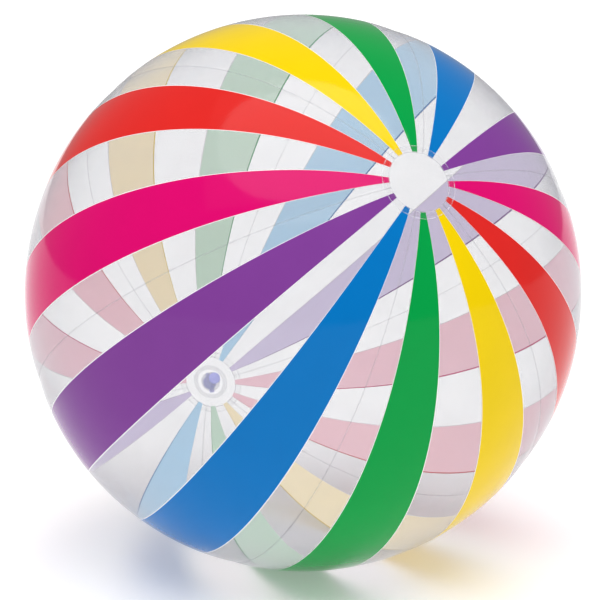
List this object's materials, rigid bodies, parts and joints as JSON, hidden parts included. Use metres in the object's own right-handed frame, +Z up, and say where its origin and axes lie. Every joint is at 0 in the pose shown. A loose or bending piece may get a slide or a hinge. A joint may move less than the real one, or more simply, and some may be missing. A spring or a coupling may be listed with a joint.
{
  "type": "inflatable beach ball",
  "caption": "Large inflated ball of clear glossy film with printed colour stripes from pole to pole, a plain cap on one pole and a push-in air valve on the other.",
  "frame": {"origin": "middle of the flat patch that the ball rests on, on the floor", "axes": "+Z up; the line through the poles lies in the YZ plane, with the plain cap forward (-Y) and 32 degrees up and the valve back (+Y) and 32 degrees down; +X is to the right seen from the front"},
  "size_m": [0.68, 0.679, 0.6777],
  "materials": {
    "printed_film": "clear glossy soft vinyl film with opaque printed stripes",
    "clear_film": "clear glossy soft vinyl film",
    "clear_vinyl": "moulded soft vinyl, clear with a faint blue tint",
    "valve_vinyl": "moulded soft vinyl, bluish and half clear, satin"
  },
  "bodies": {
    "ball": {"panel_1_red_magenta": "printed_film", "panel_2_purple_blue": "printed_film", "panel_3_green_yellow": "printed_film", "panel_4_red_magenta": "printed_film", "panel_5_purple_blue": "printed_film", "panel_6_green_yellow": "printed_film", "plain_pole_cap": "clear_film", "valve_pole_cap": "clear_film", "valve_flange": "clear_vinyl", "valve_diaphragm": "clear_vinyl"},
    "stem": {"valve_stem": "valve_vinyl", "stopper_strap": "valve_vinyl", "flap_weld_tab": "valve_vinyl"},
    "stopper": {"valve_stopper": "valve_vinyl"},
    "flap": {"check_flap": "valve_vinyl"}
  },
  "joints": [
    {"name": "stem_pull", "type": "slide", "parent": "ball", "child": "stem", "axis": [0, 0.848, -0.5299], "range_m": [0, 0.024], "deforming": ["valve_diaphragm"]},
    {"name": "stopper_hinge", "type": "hinge", "parent": "stem", "child": "stopper", "pos_m": [0, 0.2831, 0.14564], "axis": [-1, 0, 0], "range_deg": [0, 150], "deforming": ["stopper_strap"]},
    {"name": "check_flap_hinge", "type": "hinge", "parent": "stem", "child": "flap", "pos_m": [0, 0.27545, 0.17312], "axis": [-1, 0, 0], "range_deg": [0, 70], "stiffness_Nm_per_rad": 0.0005}
  ]
}
